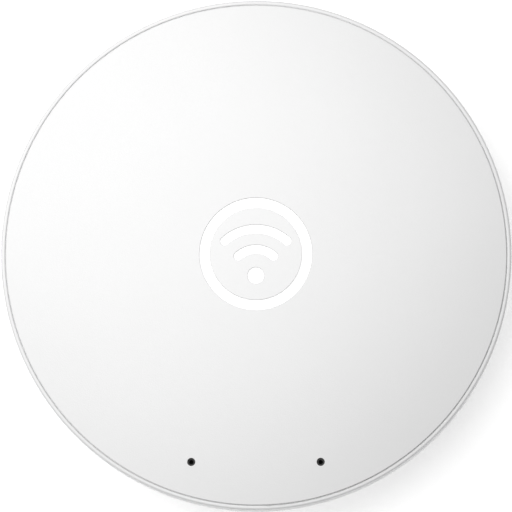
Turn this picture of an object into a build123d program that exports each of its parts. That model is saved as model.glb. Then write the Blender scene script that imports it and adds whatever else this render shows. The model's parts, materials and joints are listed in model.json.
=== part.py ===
from build123d import *

import os
from math import atan2, degrees, hypot, radians, sqrt, tan

# A streaming media player: a round white puck that lies on a rubber foot ring.
# Millimetres, +Z up.  The origin is on the table, under the middle of the disc.
# +Y is the rear, where the sockets are, and -Y is the side with the two microphone ports.
# A crowned front cover drops into the base shell, and four screws from below pull it down.

# ---------------------------------------------------------------- driving dimensions
body_radius = 39.0
body_height = 13.5
crown_rise = 1.8  # the front face is this much higher in the middle than at its edge
rim_z = body_height - crown_rise
seam_gap = 0.1  # open line between the cover and the rim
rim_width = 0.65
rim_rounding, rim_inner_rounding, seam_rounding = 0.3, 0.22, 0.09
seam_depth, seam_fit = 0.28, 0.02  # below this depth the cover closes the line but for a small fit
cover_radius = body_radius - rim_width - seam_gap
cover_wall = 1.6
cover_edge = 1.2  # height of the cover's straight edge
seat_z = rim_z - cover_edge

base_z = 0.5  # underside of the base, held off the table by the foot
base_wall = 1.5
floor_z = base_z + base_wall
base_flat_radius = 31.0  # the underside is flat to here, then curves up
waist_z = 5.5  # the side wall is upright from here to the rim
side_wall = 1.6
inner_radius = body_radius - side_wall
inner_flat_radius = 30.2
inner_waist_z = 6.0

foot_inner, foot_outer, foot_groove_z = 23.6, 30.0, 1.1
foot_clear, foot_rounding = 0.1, 0.3
label_radius, label_recess = 21.4, 0.2
vent_length, vent_width, vent_pitch, vent_row_pitch = 6.4, 1.1, 3.2, 9.0

# Port bay: a flat cut across the rear wall
bay_y, bay_wall = 36.0, 1.6
bay_low, bay_high = 3.3, 9.6
socket_mouth_y = bay_y - 0.2

# Main board
board_radius, board_thickness = 33.6, 1.0
board_z = 2.7
board_top = board_z + board_thickness
board_clear = 0.4  # round the housing's posts

# Screws
corner = 19.45  # housing screws stand at (+-corner, +-corner)
post_radius, post_top = 3.2, 5.0
boss_radius, boss_root = 2.6, 0.6  # the boss runs this far into the cover's wall
screw_head_radius, screw_head_height = 1.8, 1.2
screw_shank_radius, screw_shank_length = 0.85, 5.6
screw_clear, thread_fit, thread_spare = 0.25, 0.02, 0.3
head_seat_z = 3.6
board_screw_x, board_screw_y = 16.0, 26.0
board_screw_radius, board_screw_length = 0.7, 2.4
board_head_radius, board_head_height = 1.6, 0.9
standoff_radius = 2.1

# Emblem in the middle of the face: a ring round a wave sign
emblem_radius, ring_width = 8.6, 1.55
emblem_recess = 0.22
emblem_clear = 0.05
plate_radius = emblem_radius - ring_width
plate_thickness = 0.8
glyph_y = -3.3  # centre of the waves
glyph_dot = 1.25
glyph_waves = (4.0, 7.1)
glyph_stroke = 1.35
glyph_fan = 84.0  # degrees that each wave spans
guide_flange = 10.0
well_inner, well_outer = 9.3, 10.3

# Microphones
mic_x, mic_y = 9.87, -31.7
mic_radius = hypot(mic_x, mic_y)
port_radius, port_bore = 0.62, 0.36
port_recess = 0.25
mic_board_z, mic_board_thickness = 8.6, 0.8
mic_board_top = mic_board_z + mic_board_thickness
mic_board_width = 4.4
mesh_thickness = 0.12

# Reset button, on the +X side
button_z = 6.6
button_length, button_height = 6.4, 2.4
button_recess = 0.1
button_clear, button_rounding = 0.1, 0.25
flange_length, flange_height = 8.2, 3.0
flange_back_x = 36.2
flange_gap = 0.25  # between the flange and the wall it hides behind
nub_radius = 1.1
switch_front_x, switch_depth, switch_width, switch_height = 34.2, 3.6, 6.0, 5.2
plunger_tip_x, plunger_length, plunger_radius, plunger_clear = 35.3, 2.3, 0.9, 0.1
button_travel = 0.3

coax_radius = 0.565
can_sheet = 0.2  # metal of the screening cans


# ---------------------------------------------------------------- shared shapes
crown_radius = (cover_radius**2 + crown_rise**2) / (2 * crown_rise)
crown_centre_z = body_height - crown_radius


def crown_z(r, depth=0.0):
    """Height of the crowned face, or of a surface depth below it, at r from the axis."""
    return crown_centre_z + sqrt((crown_radius - depth) ** 2 - r**2)


def under_crown(depth, bottom=0.0, radius=body_radius):
    """Round solid from bottom up to a surface that lies depth below the crowned face."""
    top, edge = crown_z(0, depth), crown_z(radius, depth)
    with BuildPart() as space:
        with BuildSketch(Plane.XZ):
            with BuildLine():
                ThreePointArc((0, top), (radius / 2, crown_z(radius / 2, depth)), (radius, edge))
                Polyline((radius, edge), (radius, bottom), (0, bottom), (0, top))
            make_face()
        revolve(axis=Axis.Z)
    return space.part


def bowl(flat_radius, bottom, waist, radius, top):
    """Round solid with a flat bottom, a curved lower edge and an upright wall."""
    with BuildPart() as space:
        with BuildSketch(Plane.XZ):
            with BuildLine():
                Line((0, bottom), (flat_radius, bottom))
                EllipticalCenterArc(
                    (flat_radius, waist), radius - flat_radius, waist - bottom,
                    start_angle=270, arc_size=90,
                )
                Polyline((radius, waist), (radius, top), (0, top), (0, bottom))
            make_face()
        revolve(axis=Axis.Z)
    return space.part


def chips(width, depth, height, places, z=board_top, corner_radius=0.2):
    """Flat packages of one size, one at each place, standing on z."""
    with BuildPart() as group:
        with BuildSketch(Plane.XY.offset(z)):
            with Locations(*places):
                RectangleRounded(width, depth, corner_radius)
        extrude(amount=height)
    return group


def can(width, depth, height, place, z=board_top):
    """Drawn sheet-metal screening can, open below."""
    with BuildPart() as shell:
        with BuildSketch(Plane.XY.offset(z)):
            with Locations(place):
                RectangleRounded(width, depth, 0.8)
        extrude(amount=height)
        fillet(shell.edges().group_by(Axis.Z)[-1], 0.3)
        with BuildSketch(Plane.XY.offset(z)):
            with Locations(place):
                RectangleRounded(width - 2 * can_sheet, depth - 2 * can_sheet, 0.8 - can_sheet)
        extrude(amount=height - can_sheet, mode=Mode.SUBTRACT)
    return shell


def screws(places, head_top, head_radius, head_height, shank_radius, shank_length, up):
    """Pan-head screws with a cross recess.  up is +1 for a shank that points up."""
    slot_length, slot_width = 1.3 * head_radius, 0.28 * head_radius
    outward = Plane(origin=(0, 0, head_top), x_dir=(1, 0, 0), z_dir=(0, 0, -up))
    with BuildPart() as group:
        with BuildSketch(outward):
            with Locations(*places):
                Circle(head_radius)
        extrude(amount=-head_height)
        fillet(group.faces().filter_by(Axis.Z).group_by(Axis.Z)[0 if up > 0 else -1].edges(), 0.35)
        with BuildSketch(outward):
            with Locations(*places):
                Rectangle(slot_length, slot_width)
                Rectangle(slot_width, slot_length)
        extrude(amount=-0.5 * head_height, mode=Mode.SUBTRACT)
        with BuildSketch(outward.offset(-head_height)):
            with Locations(*places):
                Circle(shank_radius)
        extrude(amount=-shank_length)
    return group


corner_places = [(x, y) for x in (-corner, corner) for y in (-corner, corner)]
board_screw_places = [
    (x, y) for x in (-board_screw_x, board_screw_x) for y in (-board_screw_y, board_screw_y)
]
mic_places = [(-mic_x, mic_y), (mic_x, mic_y)]
underside = Plane(origin=(0, 0, foot_groove_z), x_dir=(1, 0, 0), z_dir=(0, 0, -1))


# ---------------------------------------------------------------- sockets
# Each socket is drawn on a plane in its mouth, and extruding goes forward into the body.
mouth = Plane.XZ.offset(-socket_mouth_y)

video_x, video_width, video_height, video_depth = -5.6, 15.0, 5.5, 11.4
video_sheet, video_chamfer = 0.35, 1.5
video_z = board_top + video_height / 2
power_x, power_width, power_height, power_depth = 9.3, 8.94, 3.16, 7.3
power_sheet = 0.3
power_z = board_top + power_height / 2
window_gap = 0.2
core_clear = 0.05  # between a socket's core and its shell, all round


def video_outline(grow=0.0):
    """Flat-topped outline with both lower corners cut off, on the current sketch plane."""
    half_width, half_height = video_width / 2 + grow, video_height / 2 + grow
    cut = video_chamfer + 0.4 * grow
    Polygon(
        (video_x - half_width, video_z + half_height),
        (video_x - half_width, video_z - half_height + cut),
        (video_x - half_width + cut, video_z - half_height),
        (video_x + half_width - cut, video_z - half_height),
        (video_x + half_width, video_z - half_height + cut),
        (video_x + half_width, video_z + half_height),
        align=None,
    )


with BuildPart() as video_shell:
    with BuildSketch(mouth):
        video_outline()
    extrude(amount=video_depth)
    with BuildSketch(mouth):
        video_outline(-video_sheet)
    extrude(amount=video_depth - video_sheet, mode=Mode.SUBTRACT)

video_tongue_width, video_tongue_height, video_tongue_recess = 11.2, 0.9, 1.0
video_core_depth = 4.0
video_back_y = socket_mouth_y - video_depth + video_sheet
with BuildPart() as video_core:
    with BuildSketch(Plane.XZ.offset(-video_back_y)):
        video_outline(-video_sheet - core_clear)
    extrude(amount=-video_core_depth)
    with BuildSketch(Plane.XZ.offset(-video_back_y)):
        with Locations((video_x, video_z)):
            RectangleRounded(video_tongue_width, video_tongue_height, 0.2)
    extrude(amount=-(video_depth - video_sheet - video_tongue_recess))

video_contact_width, video_contact_height, video_contact_length = 0.45, 0.1, 5.0
video_contact_y = video_back_y + video_core_depth
with BuildPart() as video_contacts:
    for side, count in ((1, 10), (-1, 9)):
        with BuildSketch(Plane.XZ.offset(-video_contact_y)):
            height = side * (video_tongue_height + video_contact_height) / 2
            with Locations((video_x, video_z + height)):
                with GridLocations(1.0, 1.0, count, 1):
                    Rectangle(video_contact_width, video_contact_height)
        extrude(amount=-video_contact_length)

with BuildPart() as power_shell:
    with BuildSketch(mouth):
        with Locations((power_x, power_z)):
            SlotOverall(power_width, power_height)
    extrude(amount=power_depth)
    with BuildSketch(mouth):
        with Locations((power_x, power_z)):
            SlotOverall(power_width - 2 * power_sheet, power_height - 2 * power_sheet)
    extrude(amount=power_depth - power_sheet, mode=Mode.SUBTRACT)

power_tongue_width, power_tongue_height, power_tongue_recess = 6.7, 0.7, 0.6
power_core_depth = 2.0
power_back_y = socket_mouth_y - power_depth + power_sheet
with BuildPart() as power_core:
    with BuildSketch(Plane.XZ.offset(-power_back_y)):
        with Locations((power_x, power_z)):
            SlotOverall(
                power_width - 2 * (power_sheet + core_clear),
                power_height - 2 * (power_sheet + core_clear),
            )
    extrude(amount=-power_core_depth)
    with BuildSketch(Plane.XZ.offset(-power_back_y)):
        with Locations((power_x, power_z)):
            RectangleRounded(power_tongue_width, power_tongue_height, 0.15)
    extrude(amount=-(power_depth - power_sheet - power_tongue_recess))

power_contact_width, power_contact_height, power_contact_length = 0.25, 0.08, 3.6
with BuildPart() as power_contacts:
    for side in (1, -1):
        with BuildSketch(Plane.XZ.offset(-(power_back_y + power_core_depth))):
            height = side * (power_tongue_height + power_contact_height) / 2
            with Locations((power_x, power_z + height)):
                with GridLocations(0.5, 1.0, 12, 1):
                    Rectangle(power_contact_width, power_contact_height)
        extrude(amount=-power_contact_length)


# ---------------------------------------------------------------- base shell and foot
outside = bowl(base_flat_radius, base_z, waist_z, body_radius, rim_z)
cavity = bowl(inner_flat_radius, floor_z, inner_waist_z, inner_radius, rim_z)
with BuildPart() as room:
    add(cavity)
    split(bisect_by=Plane.XZ.offset(-(bay_y - bay_wall)), keep=Keep.TOP)

with BuildPart() as base_shell:
    add(outside)
    add(room.part, mode=Mode.SUBTRACT)
    with BuildSketch(Plane.XY.offset(seat_z)):
        Circle(cover_radius + seam_gap)
    extrude(amount=cover_edge, mode=Mode.SUBTRACT)
    rim_edges = base_shell.edges().filter_by(GeomType.CIRCLE).group_by(Axis.Z)[-1]
    fillet(rim_edges.sort_by(SortBy.RADIUS)[-1], rim_rounding)
    inner_rim = base_shell.edges().filter_by(GeomType.CIRCLE).group_by(Axis.Z)[-1]
    fillet(inner_rim.sort_by(SortBy.RADIUS)[0], rim_inner_rounding)

    # Port bay and the two socket windows
    with BuildSketch(Plane.XZ.offset(-bay_y)):
        with Locations((0, (bay_low + bay_high) / 2)):
            Rectangle(2 * body_radius, bay_high - bay_low)
    extrude(amount=-(body_radius - bay_y + 1), mode=Mode.SUBTRACT)
    with BuildSketch(Plane.XZ.offset(-(bay_y + 1))):
        video_outline(window_gap)
        with Locations((power_x, power_z)):
            SlotOverall(power_width + 2 * window_gap, power_height + 2 * window_gap)
    extrude(amount=bay_wall + 2, mode=Mode.SUBTRACT)

    # Reset button slot
    with BuildSketch(Plane.YZ.offset(inner_radius - 1)):
        with Locations((0, button_z)):
            SlotOverall(button_length + 2 * button_clear, button_height + 2 * button_clear)
    extrude(amount=side_wall + 2, mode=Mode.SUBTRACT)

    # Posts for the housing screws and standoffs for the board
    with BuildSketch(Plane.XY.offset(floor_z)):
        with Locations(*corner_places):
            Circle(post_radius)
    extrude(amount=post_top - floor_z)
    with BuildSketch(Plane.XY.offset(floor_z)):
        with Locations(*board_screw_places):
            Circle(standoff_radius)
    extrude(amount=board_z - floor_z)

    # Foot groove, screw holes and a plain recess for a label
    with BuildSketch(Plane.XY.offset(base_z)):
        Circle(foot_outer + foot_clear)
        Circle(foot_inner - foot_clear, mode=Mode.SUBTRACT)
    extrude(amount=foot_groove_z - base_z, mode=Mode.SUBTRACT)
    with Locations(underside):
        with GridLocations(2 * corner, 2 * corner, 2, 2):
            CounterBoreHole(
                screw_shank_radius + screw_clear, screw_head_radius + screw_clear,
                head_seat_z - foot_groove_z, post_top - foot_groove_z + 1,
            )
    with Locations(*[(x, y, board_z) for x, y in board_screw_places]):
        Hole(board_screw_radius + thread_fit, board_screw_length - board_thickness + 0.1)
    with BuildSketch(Plane.XY.offset(base_z)):
        Circle(label_radius)
    extrude(amount=label_recess, mode=Mode.SUBTRACT)

    # Cooling slots through the base, inside the foot
    with BuildSketch(Plane.XY.offset(base_z)):
        for row in (-1, 0, 1):
            with Locations((0, row * vent_row_pitch)):
                with GridLocations(vent_pitch, 1.0, 7 if row == 0 else 5, 1):
                    SlotOverall(vent_length, vent_width, rotation=90)
    extrude(amount=base_wall, mode=Mode.SUBTRACT)

with BuildPart() as foot_ring:
    with BuildSketch():
        Circle(foot_outer)
        Circle(foot_inner, mode=Mode.SUBTRACT)
    extrude(amount=foot_groove_z)
    fillet(foot_ring.edges().group_by(Axis.Z)[0], foot_rounding)


# ---------------------------------------------------------------- front cover
skirt_outer, skirt_inner, skirt_z = 37.0, 35.8, 8.3
skirt_cut_y = 32.8  # no skirt over the sockets
cover_blank = under_crown(0, seat_z, cover_radius)
under_cover = under_crown(cover_wall, skirt_z, skirt_inner)

with BuildPart() as front_cover:
    add(cover_blank)
    with BuildSketch(Plane.XY.offset(seat_z)):
        Circle(cover_radius + seam_gap - seam_fit)
    extrude(amount=cover_edge - seam_depth)
    add(under_cover, mode=Mode.SUBTRACT)
    with BuildSketch(Plane.XY.offset(skirt_z)):
        Circle(skirt_outer)
        Circle(skirt_inner, mode=Mode.SUBTRACT)
    extrude(amount=seat_z - skirt_z)
    fillet(front_cover.edges().filter_by_position(Axis.Z, rim_z - 0.01, rim_z + 0.01), seam_rounding)
    with BuildSketch(Plane.XZ.offset(-skirt_cut_y)):
        with Locations((0, (skirt_z + seat_z) / 2)):
            Rectangle(2 * skirt_outer, seat_z - skirt_z)
    extrude(amount=-(skirt_outer - skirt_cut_y), mode=Mode.SUBTRACT)
    with BuildSketch(Plane.XY.offset(post_top)):
        with Locations(*corner_places):
            Circle(boss_radius)
    extrude(amount=crown_z(corner * sqrt(2), cover_wall) - post_top + boss_root)
    with Locations(Plane(origin=(0, 0, post_top), x_dir=(1, 0, 0), z_dir=(0, 0, -1))):
        with GridLocations(2 * corner, 2 * corner, 2, 2):
            Hole(
                screw_shank_radius + thread_fit,
                head_seat_z + screw_shank_length - post_top + thread_spare,
            )
    with Locations((0, 0, body_height)):
        Hole(emblem_radius + emblem_clear, body_height - rim_z + cover_wall)
    with Locations(*[(x, y, body_height) for x, y in mic_places]):
        Hole(port_radius, body_height - mic_board_z)


# ---------------------------------------------------------------- emblem
glyph_lines = [
    CenterArc((0, glyph_y), r, 90 - glyph_fan / 2, glyph_fan) for r in glyph_waves
]


def glyph(grow=0.0):
    """The wave sign on the current sketch plane: a dot under two arcs."""
    with Locations((0, glyph_y)):
        Circle(glyph_dot + grow)
    for line in glyph_lines:
        SlotArc(line, glyph_stroke + 2 * grow)


guide_flange_height = 0.9
well_top = crown_z(guide_flange, cover_wall) - emblem_clear - guide_flange_height
plate_z = body_height - plate_thickness
lowered_face = under_crown(emblem_recess)

with BuildPart() as light_guide:
    with BuildSketch(Plane.XY.offset(well_top)):
        Circle(guide_flange)
    extrude(amount=guide_flange_height)
    with BuildSketch(Plane.XY.offset(well_top)):
        Circle(emblem_radius)
    extrude(amount=plate_z - well_top)
    with BuildSketch(Plane.XY.offset(plate_z)):
        Circle(emblem_radius)
        Circle(plate_radius, mode=Mode.SUBTRACT)
        glyph()
    extrude(amount=plate_thickness)
    add(lowered_face, mode=Mode.INTERSECT)

with BuildPart() as emblem_plate:
    with BuildSketch(Plane.XY.offset(plate_z)):
        Circle(plate_radius - emblem_clear)
    extrude(amount=plate_thickness)
    with BuildSketch(Plane.XY.offset(plate_z)):
        glyph(emblem_clear)
    extrude(amount=plate_thickness, mode=Mode.SUBTRACT)
    add(cover_blank, mode=Mode.INTERSECT)

well_ear_radius, well_ear_height = 1.4, 1.0
with BuildPart() as light_well:
    with BuildSketch(Plane.XY.offset(board_top)):
        Circle(well_outer)
        Circle(well_inner, mode=Mode.SUBTRACT)
    extrude(amount=well_top - board_top)
    with BuildSketch(Plane.XY.offset(board_top)):
        with PolarLocations(well_outer + well_ear_radius / 2, 3, 30):
            Circle(well_ear_radius)
        Circle(well_inner, mode=Mode.SUBTRACT)
    extrude(amount=well_ear_height)

led_offset = 3.6
led_places = [(x, y) for x in (-led_offset, led_offset) for y in (-led_offset, led_offset)]
status_leds = chips(1.6, 1.6, 0.7, led_places)


# ---------------------------------------------------------------- main board and its parts
with BuildPart() as main_board:
    with BuildSketch(Plane.XY.offset(board_z)):
        Circle(board_radius)
        with Locations(*corner_places):
            Circle(post_radius + board_clear, mode=Mode.SUBTRACT)
        with Locations(*board_screw_places):
            Circle(board_screw_radius + screw_clear, mode=Mode.SUBTRACT)
    extrude(amount=board_thickness)

shield_place, shield_width, shield_depth, shield_height = (-19.9, 0), 17.2, 26.0, 2.2
processor_place, processor_height, pad_height = (-19.9, -5.4), 1.3, 0.7
processor_chip = chips(13.0, 13.0, processor_height, [processor_place])
memory_chips = chips(7.5, 9.6, 1.0, [(-24.0, 6.6), (-15.8, 6.6)])
processor_shield = can(shield_width, shield_depth, shield_height, shield_place)
processor_pad = chips(
    12.0, 12.0, shield_height - can_sheet - processor_height, [processor_place],
    z=board_top + processor_height,
)
spreader_z = board_top + shield_height + pad_height
spreader_pad = chips(14.0, 22.0, pad_height, [shield_place], z=board_top + shield_height)

spreader_edge_x, spreader_radius, spreader_thickness = -13.8, 32.0, 1.0
spreader_corner, spreader_clear = 1.5, 0.5
fin_x, fin_length, fin_width, fin_height, fin_pitch = -23.0, 12.0, 1.1, 0.6, 3.2
with BuildPart() as heat_spreader:
    with BuildSketch(Plane.XY.offset(spreader_z)) as spreader_sketch:
        Circle(spreader_radius)
        with Locations((spreader_edge_x, 0)):
            Rectangle(
                3 * spreader_radius, 3 * spreader_radius,
                align=(Align.MIN, Align.CENTER), mode=Mode.SUBTRACT,
            )
        fillet(spreader_sketch.vertices(), spreader_corner)
        with Locations(*corner_places[:2]):
            Circle(boss_radius + spreader_clear, mode=Mode.SUBTRACT)
    extrude(amount=spreader_thickness)
    with BuildSketch(Plane.XY.offset(spreader_z + spreader_thickness)):
        with Locations((fin_x, 0)):
            with GridLocations(1.0, fin_pitch, 1, 7):
                SlotOverall(fin_length, fin_width)
    extrude(amount=fin_height)

flash_chip = chips(13.0, 11.5, 1.0, [(21.0, 8.2)])
power_chip = chips(6.0, 6.0, 0.9, [(7.6, 16.2)])
power_inductors = chips(4.0, 4.0, 2.0, [(1.4, 15.6), (-3.6, 15.6), (-8.6, 15.0)], corner_radius=0.8)
crystals = chips(3.2, 2.5, 0.8, [(-9.0, -17.0), (25.0, 18.0)], corner_radius=0.4)
port_guards = chips(4.0, 1.7, 0.8, [(-9.4, 21.6), (-2.4, 21.6), (9.3, 26.2)])
passive_length, passive_width, passive_height = 1.0, 0.5, 0.5
passive_pitch_x, passive_pitch_y = 1.7, 1.2
with BuildPart() as passives:
    with BuildSketch(Plane.XY.offset(board_top)):
        for place, columns, rows in (
            ((-5.5, 19.4), 8, 1),
            ((9.0, -17.5), 5, 3),
            ((-4.0, -17.8), 4, 2),
            ((13.0, 22.6), 1, 3),
            ((-24.5, 16.4), 3, 1),
            ((25.6, -15.8), 3, 2),
            ((9.8, 21.4), 2, 2),
        ):
            with Locations(place):
                with GridLocations(passive_pitch_x, passive_pitch_y, columns, rows):
                    Rectangle(passive_length, passive_width)
    extrude(amount=passive_height)

radio_place, radio_board_thickness = (22.5, -7.2), 0.6
radio_board = chips(14.0, 13.0, radio_board_thickness, [radio_place])
radio_shield = can(13.4, 12.4, 1.6, radio_place, z=board_top + radio_board_thickness)


# ---------------------------------------------------------------- antennas and their cables
antenna_mid, antenna_width, antenna_half_angle, antenna_sheet = 27.5, 9.0, 15.0, 0.2
feed_x, feed_block, feed_gap = 24.5, 1.6, 0.05
feed_z = crown_z(feed_x, cover_wall + antenna_sheet) - coax_radius - feed_gap
antenna_top = under_crown(cover_wall)
antenna_bottom = under_crown(cover_wall + antenna_sheet)


def antenna(side):
    """Flexible strip antenna on the inside of the cover, with a solder block for its lead."""
    middle = 90 - 90 * side
    line = CenterArc((0, 0), antenna_mid, middle - antenna_half_angle, 2 * antenna_half_angle)
    with BuildPart() as strip:
        with BuildSketch(Plane.XY.offset(seat_z)):
            SlotArc(line, antenna_width)
        extrude(amount=crown_rise + cover_edge)
        add(antenna_top, mode=Mode.INTERSECT)
        add(antenna_bottom, mode=Mode.SUBTRACT)
        with BuildSketch(Plane.XY.offset(feed_z - feed_block / 4)):
            with Locations((side * (feed_x + feed_block / 2), 0)):
                RectangleRounded(feed_block, feed_block, 0.2)
        extrude(amount=feed_block / 4 + coax_radius + feed_gap + antenna_sheet / 2)
    return strip


def bend_radii(points):
    """The largest tangent arcs that the runs on either side of each corner allow."""
    radii = []
    for before, here, after in zip(points, points[1:], points[2:]):
        run_in, run_out = Vector(here) - Vector(before), Vector(after) - Vector(here)
        half_turn = radians(run_in.get_angle(run_out)) / 2
        radii.append(0.45 * min(run_in.length, run_out.length) / tan(half_turn))
    return radii


def coax(points):
    """Thin coaxial lead that follows points."""
    with BuildPart() as lead:
        with BuildLine() as route:
            FilletPolyline(*points, radius=bend_radii(points))
        with BuildSketch(Plane(origin=route.line @ 0, z_dir=route.line % 0)):
            Circle(coax_radius)
        sweep()
    return lead


antenna_left = antenna(-1)
antenna_right = antenna(1)

plug_radius, plug_height = 1.3, 1.45
crimp_width, crimp_length = 1.5, 2.2
socket_size, socket_height = 2.6, 0.35
coax_z = board_top + socket_height + plug_height / 2
socket_x, socket_left_y, socket_right_y = 13.4, -10.2, -5.2
socket_places = [(socket_x, socket_left_y), (socket_x, socket_right_y)]
crimp_places = [
    (socket_x, socket_left_y - crimp_length / 2), (socket_x, socket_right_y + crimp_length / 2)
]
antenna_cable_right = coax([
    (socket_x, socket_right_y + crimp_length, coax_z),
    (socket_x, -0.6, coax_z),
    (15.4, 1.6, 6.4),
    (18.0, 1.2, 9.0),
    (21.0, 0, feed_z),
    (feed_x, 0, feed_z),
])
antenna_cable_left = coax([
    (socket_x, socket_left_y - crimp_length, coax_z),
    (socket_x, -15.2, coax_z),
    (9.8, -18.4, 5.6),
    (2.4, -19.0, 6.9),
    (-6.0, -17.4, 8.7),
    (-13.4, -12.8, 9.5),
    (-17.4, -6.0, 9.8),
    (-20.8, 0, feed_z),
    (-feed_x, 0, feed_z),
])
with BuildPart() as coax_sockets:
    with BuildSketch(Plane.XY.offset(board_top)):
        with Locations(*socket_places):
            RectangleRounded(socket_size, socket_size, 0.3)
    extrude(amount=socket_height)
with BuildPart() as coax_plugs:
    with BuildSketch(Plane.XY.offset(board_top + socket_height)):
        with Locations(*socket_places):
            Circle(plug_radius)
        with Locations(*crimp_places):
            Rectangle(crimp_width, crimp_length)
    extrude(amount=plug_height)
    fillet(coax_plugs.edges().group_by(Axis.Z)[-1], 0.2)


# ---------------------------------------------------------------- microphones
mic_angle = degrees(atan2(mic_x, -mic_y))
mic_arc_half = mic_angle + 4.0  # degrees, a little past each microphone
mic_line = CenterArc((0, 0), mic_radius, 270 - mic_arc_half, 2 * mic_arc_half)
boot_radius, boot_fit = 2.0, 0.02
mic_hole_radius, mic_height = 0.5, 1.1

with BuildPart() as mic_board:
    with BuildSketch(Plane.XY.offset(mic_board_z)):
        SlotArc(mic_line, mic_board_width)
        with Locations(*mic_places):
            Circle(mic_hole_radius, mode=Mode.SUBTRACT)
    extrude(amount=mic_board_thickness)

microphones = chips(3.4, 2.6, mic_height, mic_places, z=mic_board_z - mic_height)

with BuildPart() as mic_meshes:
    with BuildSketch(Plane.XY.offset(mic_board_top)):
        with Locations(*mic_places):
            Circle(boot_radius)
    extrude(amount=mesh_thickness)

boot_z = mic_board_top + mesh_thickness
recessed_face = under_crown(port_recess)
with BuildPart() as boot_spigots:
    with BuildSketch(Plane.XY.offset(boot_z)):
        with Locations(*mic_places):
            Circle(port_radius - boot_fit)
    extrude(amount=body_height - boot_z)
    add(recessed_face, mode=Mode.INTERSECT)
with BuildPart() as mic_boots:
    with BuildSketch(Plane.XY.offset(boot_z)):
        with Locations(*mic_places):
            Circle(boot_radius)
    extrude(amount=body_height - boot_z)
    add(antenna_top, mode=Mode.INTERSECT)
    add(boot_spigots.part)
    with Locations(*[(x, y, body_height) for x, y in mic_places]):
        Hole(port_bore, body_height - boot_z)

ribbon_width, ribbon_thickness = 4.0, 0.3
ribbon_z = mic_board_z - ribbon_thickness / 2
ribbon_low_z = board_top + 0.6
with BuildPart() as mic_ribbon:
    with BuildSketch(Plane.YZ.offset(-ribbon_width / 2)):
        with BuildLine():
            FilletPolyline(
                (-33.2, ribbon_z), (-27.6, ribbon_z), (-27.6, ribbon_low_z), (-24.4, ribbon_low_z),
                radius=1.0,
            )
        trace(line_width=ribbon_thickness)
    extrude(amount=ribbon_width)

connector_y, connector_width, connector_depth, connector_height = -24.2, 6.4, 3.4, 1.2
slot_depth, slot_clear = 1.7, 0.05
connector_mouth_y = connector_y - connector_depth / 2
with BuildPart() as ribbon_connector:
    with BuildSketch(Plane.XY.offset(board_top)):
        with Locations((0, connector_y)):
            Rectangle(connector_width, connector_depth)
    extrude(amount=connector_height)
    with BuildSketch(Plane.XZ.offset(-connector_mouth_y)):
        with Locations((0, ribbon_low_z)):
            Rectangle(ribbon_width + 2 * slot_clear, ribbon_thickness + 2 * slot_clear)
    extrude(amount=-slot_depth, mode=Mode.SUBTRACT)


# ---------------------------------------------------------------- reset button and its switch
with BuildPart() as button_cap:
    with BuildSketch(Plane.YZ.offset(flange_back_x)):
        with Locations((0, button_z)):
            SlotOverall(button_length, button_height)
    extrude(amount=body_radius - flange_back_x)
    with BuildSketch():
        Circle(body_radius - button_recess)
    extrude(amount=body_height, mode=Mode.INTERSECT)
    fillet(button_cap.faces().sort_by(Axis.X)[-1].edges(), button_rounding)

with BuildPart() as reset_button:
    with BuildSketch(Plane.YZ.offset(flange_back_x)):
        with Locations((0, button_z)):
            SlotOverall(flange_length, flange_height)
    extrude(amount=body_radius - flange_back_x)
    with BuildSketch():
        Circle(inner_radius - flange_gap)
    extrude(amount=body_height, mode=Mode.INTERSECT)
    add(button_cap.part)
    with BuildSketch(Plane.YZ.offset(plunger_tip_x)):
        with Locations((0, button_z)):
            Circle(nub_radius)
    extrude(amount=flange_back_x - plunger_tip_x)

with BuildPart() as switch_plunger:
    with BuildSketch(Plane.YZ.offset(plunger_tip_x)):
        with Locations((0, button_z)):
            Circle(plunger_radius)
    extrude(amount=-plunger_length)

with BuildPart() as switch_body:
    with BuildSketch(Plane.XY.offset(board_top)):
        with Locations((switch_front_x, 0)):
            Rectangle(switch_depth, switch_width, align=(Align.MAX, Align.CENTER))
    extrude(amount=switch_height)
    chamfer(switch_body.edges().filter_by(Axis.Z), 0.3)
    with BuildSketch(Plane.YZ.offset(switch_front_x)):
        with Locations((0, button_z)):
            Circle(plunger_radius + plunger_clear)
    plunger_seat_x = plunger_tip_x - plunger_length - button_travel - plunger_clear
    extrude(amount=plunger_seat_x - switch_front_x, mode=Mode.SUBTRACT)


# ---------------------------------------------------------------- screws
housing_screws = screws(
    corner_places, head_seat_z - screw_head_height, screw_head_radius, screw_head_height,
    screw_shank_radius, screw_shank_length, up=1,
)
board_screws = screws(
    board_screw_places, board_top + board_head_height, board_head_radius, board_head_height,
    board_screw_radius, board_screw_length, up=-1,
)


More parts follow.
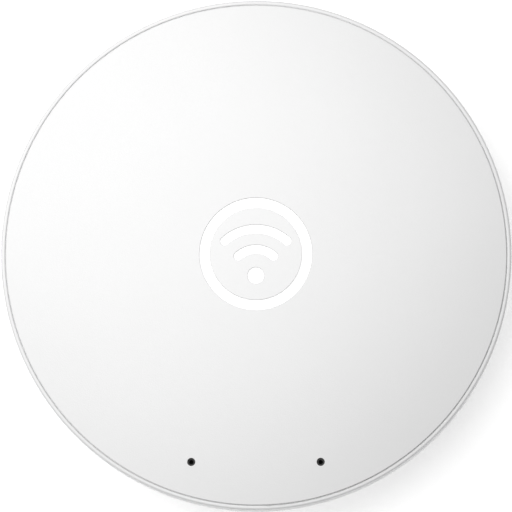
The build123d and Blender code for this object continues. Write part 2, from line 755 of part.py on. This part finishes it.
# ---------------------------------------------------------------- write the pieces
pieces = {
    "front_cover": front_cover,
    "base_shell": base_shell,
    "foot_ring": foot_ring,
    "light_guide": light_guide,
    "emblem_plate": emblem_plate,
    "light_well": light_well,
    "status_leds": status_leds,
    "main_board": main_board,
    "processor_chip": processor_chip,
    "processor_pad": processor_pad,
    "processor_shield": processor_shield,
    "memory_chips": memory_chips,
    "spreader_pad": spreader_pad,
    "heat_spreader": heat_spreader,
    "flash_chip": flash_chip,
    "power_chip": power_chip,
    "power_inductors": power_inductors,
    "crystals": crystals,
    "port_guards": port_guards,
    "passives": passives,
    "radio_board": radio_board,
    "radio_shield": radio_shield,
    "coax_sockets": coax_sockets,
    "coax_plugs": coax_plugs,
    "antenna_cable_left": antenna_cable_left,
    "antenna_cable_right": antenna_cable_right,
    "antenna_left": antenna_left,
    "antenna_right": antenna_right,
    "video_socket_shell": video_shell,
    "video_socket_core": video_core,
    "video_socket_contacts": video_contacts,
    "power_socket_shell": power_shell,
    "power_socket_core": power_core,
    "power_socket_contacts": power_contacts,
    "mic_board": mic_board,
    "microphones": microphones,
    "mic_meshes": mic_meshes,
    "mic_boots": mic_boots,
    "mic_ribbon": mic_ribbon,
    "ribbon_connector": ribbon_connector,
    "reset_button": reset_button,
    "switch_plunger": switch_plunger,
    "switch_body": switch_body,
    "housing_screws": housing_screws,
    "board_screws": board_screws,
}

os.makedirs("parts", exist_ok=True)
for name, piece in pieces.items():
    piece.part.label = name
    export_step(piece.part, f"parts/{name}.step")
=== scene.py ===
import json
from math import cos, pi, radians, sin

import bpy
from mathutils import Matrix, Vector

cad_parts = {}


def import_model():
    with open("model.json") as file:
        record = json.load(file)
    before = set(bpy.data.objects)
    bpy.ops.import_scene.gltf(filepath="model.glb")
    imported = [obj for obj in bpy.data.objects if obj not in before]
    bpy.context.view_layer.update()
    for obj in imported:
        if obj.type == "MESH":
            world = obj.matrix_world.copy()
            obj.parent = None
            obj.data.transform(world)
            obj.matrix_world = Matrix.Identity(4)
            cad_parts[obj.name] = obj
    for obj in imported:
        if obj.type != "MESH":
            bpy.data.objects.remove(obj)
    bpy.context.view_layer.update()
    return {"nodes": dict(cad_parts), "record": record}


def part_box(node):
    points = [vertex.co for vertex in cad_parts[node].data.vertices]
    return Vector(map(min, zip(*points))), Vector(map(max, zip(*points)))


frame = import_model()

# ------------------------------------------------------------------ driving values, in metres
MM = 0.001
rim_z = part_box("base_shell")[1].z  # height of the rim round the face

# Camera: straight over the face but for a small tilt, far away, with a long lens
view_distance = 1.4
view_width = 0.0782  # what the picture spans at the rim's height
view_tilt, view_lean = 4.2, 1.0  # degrees towards -Y and towards +X
aim_x, aim_y = 0.0, -0.2 * MM

# Table and studio light
table_half, table_z = 1.5, -0.02 * MM  # just under the foot, which stands on z = 0
table_glow = 0.44
world_strength = 0.2

# Surface detail
rib_pitch, rib_depth = 0.7 * MM, 0.05 * MM  # on the rubber foot
wave_cycle = 2 * pi / 20  # Blender's ring texture repeats this far apart at scale 1
noise_low, noise_high = 0.3, 0.7  # most of a noise texture's values lie between these


# ------------------------------------------------------------------ materials
# A roughness that crosses 0.274 leaves a hard edge in a denoised render, so each finish stays on one
# side of it.
class Graph:
    """A material's node tree, with short calls for the nodes that the finishes share."""

    def __init__(self, name, base, roughness, metallic=0.0):
        self.name = name  # Blender may number the material's own name, so it is kept here too
        self.material = bpy.data.materials.new(name)
        self.material.use_nodes = True
        self.nodes = self.material.node_tree.nodes
        self.links = self.material.node_tree.links
        self.shader = self.nodes["Principled BSDF"]
        self.set("Base Color", (*base, 1.0))
        self.set("Roughness", roughness)
        self.set("Metallic", metallic)
        self.where = self.nodes.new("ShaderNodeTexCoord").outputs["Object"]

    def set(self, socket, value):
        self.shader.inputs[socket].default_value = value

    def link(self, source, socket):
        self.links.new(source, self.shader.inputs[socket])

    def noise(self, size, detail=4.0, rough=0.55, where=None):
        """Noise whose largest features are size metres across."""
        node = self.nodes.new("ShaderNodeTexNoise")
        node.inputs["Scale"].default_value = 1.0 / size
        node.inputs["Detail"].default_value = detail
        node.inputs["Roughness"].default_value = rough
        self.links.new(where or self.where, node.inputs["Vector"])
        return node.outputs["Fac"]

    def cells(self, size, feature="F1"):
        """Voronoi cells size metres across."""
        node = self.nodes.new("ShaderNodeTexVoronoi")
        node.feature = feature
        node.inputs["Scale"].default_value = 1.0 / size
        self.links.new(self.where, node.inputs["Vector"])
        return node.outputs["Distance"]

    def rings(self, pitch):
        """Waves round the Z axis, pitch metres apart."""
        node = self.nodes.new("ShaderNodeTexWave")
        node.wave_type, node.rings_direction = "RINGS", "Z"
        node.inputs["Scale"].default_value = wave_cycle / pitch
        self.links.new(self.where, node.inputs["Vector"])
        return node.outputs["Fac"]

    def stretched(self, scale):
        """Object coordinates, scaled per axis, for grain that runs one way."""
        node = self.nodes.new("ShaderNodeMapping")
        node.inputs["Scale"].default_value = scale
        self.links.new(self.where, node.inputs["Vector"])
        return node.outputs["Vector"]

    def ramp(self, value, *stops):
        """Colour ramp: each stop is (position, colour or grey)."""
        node = self.nodes.new("ShaderNodeValToRGB")
        elements = node.color_ramp.elements
        while len(elements) < len(stops):
            elements.new(0.5)
        for element, (position, shade) in zip(elements, stops):
            element.position = position
            element.color = (shade, shade, shade, 1.0) if isinstance(shade, float) else (*shade, 1.0)
        self.links.new(value, node.inputs["Fac"])
        return node.outputs["Color"]

    def vary_roughness(self, size, low, high, detail=4.0):
        """Roughness that wanders between low and high over patches size metres across."""
        node = self.nodes.new("ShaderNodeMapRange")
        ends = {"From Min": noise_low, "From Max": noise_high, "To Min": low, "To Max": high}
        for socket, number in ends.items():
            node.inputs[socket].default_value = number
        self.links.new(self.noise(size, detail), node.inputs["Value"])
        self.link(node.outputs["Result"], "Roughness")

    def bump(self, *layers):
        """Bumps from (height, depth in metres) layers, one on top of the other."""
        below = None
        for height, depth in layers:
            node = self.nodes.new("ShaderNodeBump")
            node.inputs["Distance"].default_value = depth
            self.links.new(height, node.inputs["Height"])
            if below:
                self.links.new(below, node.inputs["Normal"])
            below = node.outputs["Normal"]
        self.link(below, "Normal")


def moulded_white(name, shade, roughness, grain=0.18 * MM, depth=0.016 * MM):
    """Satin moulded plastic: spark-eroded grain, uneven gloss and a trace of tone."""
    g = Graph(name, (shade, shade, shade), roughness)
    cloud = g.noise(14 * MM, 3.0)
    g.link(g.ramp(cloud, (0.3, (shade * 0.994,) * 3), (0.7, (shade * 1.004,) * 3)), "Base Color")
    g.vary_roughness(1.2 * MM, roughness - 0.02, roughness + 0.02)
    g.bump((g.noise(grain, 2.0), depth))
    g.set("IOR", 1.5)
    return g


def diffuser():
    """Polished translucent inlay, lit softly from below."""
    g = Graph("light_diffuser", (0.93, 0.93, 0.93), 0.21)
    g.vary_roughness(3 * MM, 0.17, 0.26)
    g.link(g.ramp(g.noise(6 * MM), (0.3, 0.92), (0.7, 0.95)), "Base Color")
    g.bump((g.noise(0.5 * MM, 2.0), 0.0015 * MM))
    g.set("Emission Color", (1.0, 1.0, 1.0, 1.0))
    g.set("Emission Strength", 0.15)
    return g


def rubber(name, shade, roughness, ribbed=False):
    """Soft elastomer with a fine matt grain, a dusting of lint and, on request, concentric ribs."""
    g = Graph(name, (shade, shade, shade), roughness)
    dust = g.ramp(g.noise(2.5 * MM, 6.0), (0.45, (shade,) * 3), (0.8, (shade * 0.9 + 0.05,) * 3))
    g.link(dust, "Base Color")
    g.vary_roughness(1.2 * MM, roughness - 0.1, roughness + 0.08)
    layers = [(g.noise(0.18 * MM, 3.0), 0.012 * MM)]
    if ribbed:
        layers.append((g.rings(rib_pitch), rib_depth))
    g.bump(*layers)
    g.set("Sheen Weight", 0.15)
    return g


def sheet_metal(name, colour, roughness, along=(1.0, 40.0, 40.0), scratch=0.6 * MM):
    """Rolled or stamped sheet with grain along X, smudges and fine scratches."""
    g = Graph(name, colour, roughness, 1.0)
    grain = g.noise(scratch, 3.0, 0.6, g.stretched(along))
    dark = tuple(c * 0.9 for c in colour)
    g.link(g.ramp(grain, (0.3, dark), (0.7, colour)), "Base Color")
    g.vary_roughness(3 * MM, roughness - 0.08, roughness + 0.12, 5.0)
    g.bump((grain, 0.002 * MM))
    return g


def plated(name, colour, roughness=0.22):
    """Plated contact metal with slight tarnish."""
    g = Graph(name, colour, roughness, 1.0)
    tarnish = tuple(c * 0.82 for c in colour)
    g.link(g.ramp(g.noise(0.8 * MM, 5.0), (0.35, tarnish), (0.6, colour)), "Base Color")
    g.vary_roughness(0.5 * MM, roughness - 0.04, roughness + 0.04)
    g.bump((g.noise(0.15 * MM), 0.001 * MM))
    return g


def epoxy(name, colour, roughness=0.55, grain=0.12 * MM):
    """Filled moulding compound: speckled, matt, slightly pitted."""
    g = Graph(name, colour, roughness)
    light = tuple(c * 1.35 + 0.004 for c in colour)
    g.link(g.ramp(g.noise(grain, 2.0), (0.4, colour), (0.75, light)), "Base Color")
    g.vary_roughness(1.5 * MM, roughness - 0.08, roughness + 0.1)
    g.bump((g.noise(grain, 3.0), 0.006 * MM))
    return g


def board_mask():
    """Solder mask over copper: dark green, with raised tracks and pours."""
    mask, copper = (0.012, 0.075, 0.034), (0.022, 0.135, 0.060)
    g = Graph("board_mask", mask, 0.32)
    tracks = g.cells(1.6 * MM, "DISTANCE_TO_EDGE")
    pours = g.noise(7 * MM, 2.0)
    raised = g.ramp(tracks, (0.05, 1.0), (0.09, 0.0))
    mix = g.nodes.new("ShaderNodeMixRGB")
    mix.blend_type = "LIGHTEN"
    mix.inputs["Fac"].default_value = 1.0
    g.links.new(g.ramp(tracks, (0.05, copper), (0.09, mask)), mix.inputs["Color1"])
    g.links.new(g.ramp(pours, (0.52, mask), (0.54, copper)), mix.inputs["Color2"])
    g.link(mix.outputs["Color"], "Base Color")
    g.vary_roughness(2 * MM, 0.28, 0.42)
    g.bump((raised, 0.02 * MM), (g.noise(0.3 * MM), 0.002 * MM))
    g.set("Coat Weight", 0.3)
    return g


def thermal_pad():
    """Filled silicone pad: chalky blue-grey, with a dimpled face."""
    dark, pale = (0.30, 0.44, 0.52), (0.42, 0.56, 0.63)
    g = Graph("thermal_pad", (0.36, 0.50, 0.58), 0.8)
    g.link(g.ramp(g.noise(0.6 * MM), (0.35, dark), (0.7, pale)), "Base Color")
    g.bump((g.cells(0.5 * MM), 0.03 * MM), (g.noise(0.2 * MM), 0.01 * MM))
    return g


def film(name, colour, roughness=0.35):
    """Flexible circuit film: tracks under a thin glossy cover layer."""
    g = Graph(name, colour, roughness)
    tracks = g.noise(0.9 * MM, 1.0, 0.4, g.stretched((14.0, 1.0, 1.0)))
    light = tuple(min(1.0, c * 1.7 + 0.01) for c in colour)
    g.link(g.ramp(tracks, (0.47, colour), (0.53, light)), "Base Color")
    g.vary_roughness(2 * MM, roughness - 0.06, roughness + 0.08)
    g.bump((tracks, 0.01 * MM))
    return g


def woven_mesh():
    """Black acoustic cloth: a fine net of threads round openings, with painted shade in the openings.
    """
    g = Graph("mesh_black", (0.02, 0.02, 0.02), 0.85)
    weave_and_opening_shade = g.cells(0.12 * MM)
    # Painted shade: the openings between the threads are coloured darker than the threads, in place of
    # the shade of the hollow behind the cloth; the same pattern also gives the threads' bump.
    g.link(g.ramp(weave_and_opening_shade, (0.2, 0.035), (0.6, 0.006)), "Base Color")
    g.bump((weave_and_opening_shade, 0.03 * MM))
    return g


def passive_ceramic():
    """Chip capacitors and resistors: patches of tan ceramic, black coat and tin."""
    tan, black, tin = (0.42, 0.33, 0.23), (0.10, 0.09, 0.085), (0.62, 0.61, 0.58)
    g = Graph("passive_ceramic", (0.38, 0.29, 0.20), 0.5)
    g.link(g.ramp(g.noise(1.3 * MM, 1.0), (0.42, tan), (0.5, black), (0.6, tin)), "Base Color")
    g.bump((g.noise(0.1 * MM), 0.004 * MM))
    return g


finishes = [
    moulded_white("cover_white", 0.78, 0.3),
    moulded_white("shell_white", 0.78, 0.34),
    moulded_white("button_white", 0.78, 0.38),
    moulded_white("emblem_plate", 0.79, 0.3),
    moulded_white("reflector_white", 0.86, 0.6),
    diffuser(),
    rubber("foot_rubber", 0.60, 0.75, ribbed=True),
    rubber("boot_silicone", 0.012, 0.6),
    moulded_white("led_package", 0.8, 0.2),
    board_mask(),
    epoxy("chip_black", (0.018, 0.018, 0.019)),
    thermal_pad(),
    sheet_metal("shield_tin", (0.74, 0.73, 0.70), 0.37),
    sheet_metal("spreader_aluminium", (0.80, 0.81, 0.82), 0.38),
    epoxy("inductor_ferrite", (0.07, 0.07, 0.075), 0.6, 0.25 * MM),
    plated("crystal_can", (0.78, 0.77, 0.74), 0.20),
    passive_ceramic(),
    plated("contact_gold", (0.86, 0.65, 0.30)),
    plated("plug_gold", (0.84, 0.66, 0.34), 0.33),
    rubber("cable_black", 0.02, 0.5),
    film("antenna_film", (0.02, 0.02, 0.022)),
    film("ribbon_film", (0.40, 0.18, 0.04)),
    sheet_metal("socket_steel", (0.66, 0.66, 0.65), 0.36),
    epoxy("socket_black", (0.014, 0.014, 0.015), 0.45),
    epoxy("connector_cream", (0.70, 0.65, 0.52), 0.5),
    plated("microphone_can", (0.80, 0.70, 0.45), 0.33),
    woven_mesh(),
    epoxy("switch_plunger", (0.50, 0.06, 0.04), 0.4),
    epoxy("switch_black", (0.02, 0.02, 0.02), 0.5),
    sheet_metal("screw_steel", (0.56, 0.56, 0.57), 0.37),
]
finish_of_slot = {finish.name: finish.material for finish in finishes}
slot_of_node = {part["node"]: part["material_slot"] for part in frame["record"]["subparts"]}
for node, piece in frame["nodes"].items():
    piece.data.materials.clear()
    piece.data.materials.append(finish_of_slot[slot_of_node[node]])


# ------------------------------------------------------------------ stage, light and camera
def table_top():
    """White table top.  A glow keeps it white outside the shadow, and its underside is clear."""
    g = Graph("table_white", (0.9, 0.9, 0.9), 0.6)
    g.link(g.ramp(g.noise(0.2), (0.3, 0.895), (0.7, 0.905)), "Base Color")
    g.set("Emission Color", (1.0, 1.0, 1.0, 1.0))
    g.set("Emission Strength", table_glow)
    from_below = g.nodes.new("ShaderNodeNewGeometry").outputs["Backfacing"]
    one_sided = g.nodes.new("ShaderNodeMixShader")
    g.links.new(from_below, one_sided.inputs["Fac"])
    g.links.new(g.shader.outputs["BSDF"], one_sided.inputs[1])
    g.links.new(g.nodes.new("ShaderNodeBsdfTransparent").outputs["BSDF"], one_sided.inputs[2])
    g.links.new(one_sided.outputs["Shader"], g.nodes["Material Output"].inputs["Surface"])
    mesh = bpy.data.meshes.new("table")
    signs = ((-1, -1), (1, -1), (1, 1), (-1, 1))
    mesh.from_pydata([(x * table_half, y * table_half, table_z) for x, y in signs], [], [(0, 1, 2, 3)])
    mesh.materials.append(g.material)
    table = bpy.data.objects.new("table", mesh)
    bpy.context.scene.collection.objects.link(table)


def softbox(name, azimuth, zenith, distance, width, height, watts):
    """Rectangular light that faces the origin.  azimuth turns from +X to +Y, zenith is from +Z."""
    light = bpy.data.lights.new(name, "AREA")
    light.shape = "RECTANGLE"
    light.size, light.size_y = width, height
    light.energy = watts
    lamp = bpy.data.objects.new(name, light)
    around, down = radians(azimuth), radians(zenith)
    out = Vector((cos(around) * sin(down), sin(around) * sin(down), cos(down)))
    lamp.location = distance * out
    lamp.rotation_euler = (-out).to_track_quat("-Z", "Y").to_euler()
    lamp.visible_camera = False
    bpy.context.scene.collection.objects.link(lamp)


def world(strength):
    """Even white surroundings."""
    surroundings = bpy.data.worlds.new("studio")
    surroundings.use_nodes = True
    background = surroundings.node_tree.nodes["Background"]
    background.inputs["Color"].default_value = (1.0, 1.0, 1.0, 1.0)
    background.inputs["Strength"].default_value = strength
    bpy.context.scene.world = surroundings


def camera():
    """Long lens over the face, leaning a little towards the microphones and the button."""
    lens = bpy.data.cameras.new("camera")
    lens.sensor_width = 36.0
    lens.lens = lens.sensor_width * view_distance / view_width
    lens.clip_end = 20
    eye = bpy.data.objects.new("camera", lens)
    aim = Vector((aim_x, aim_y, rim_z))
    back = Vector((sin(radians(view_lean)), -sin(radians(view_tilt)), 1.0)).normalized()
    right = Vector((0, 1, 0)).cross(back).normalized()
    eye.matrix_world = Matrix((right, back.cross(right), back)).transposed().to_4x4()
    eye.location = aim + view_distance * back
    bpy.context.scene.collection.objects.link(eye)
    bpy.context.scene.camera = eye


bpy.context.scene.view_settings.view_transform = "Standard"
camera()
table_top()
world(world_strength)
softbox("key", azimuth=140.7, zenith=18.2, distance=0.183, width=0.182, height=0.209, watts=0.379)
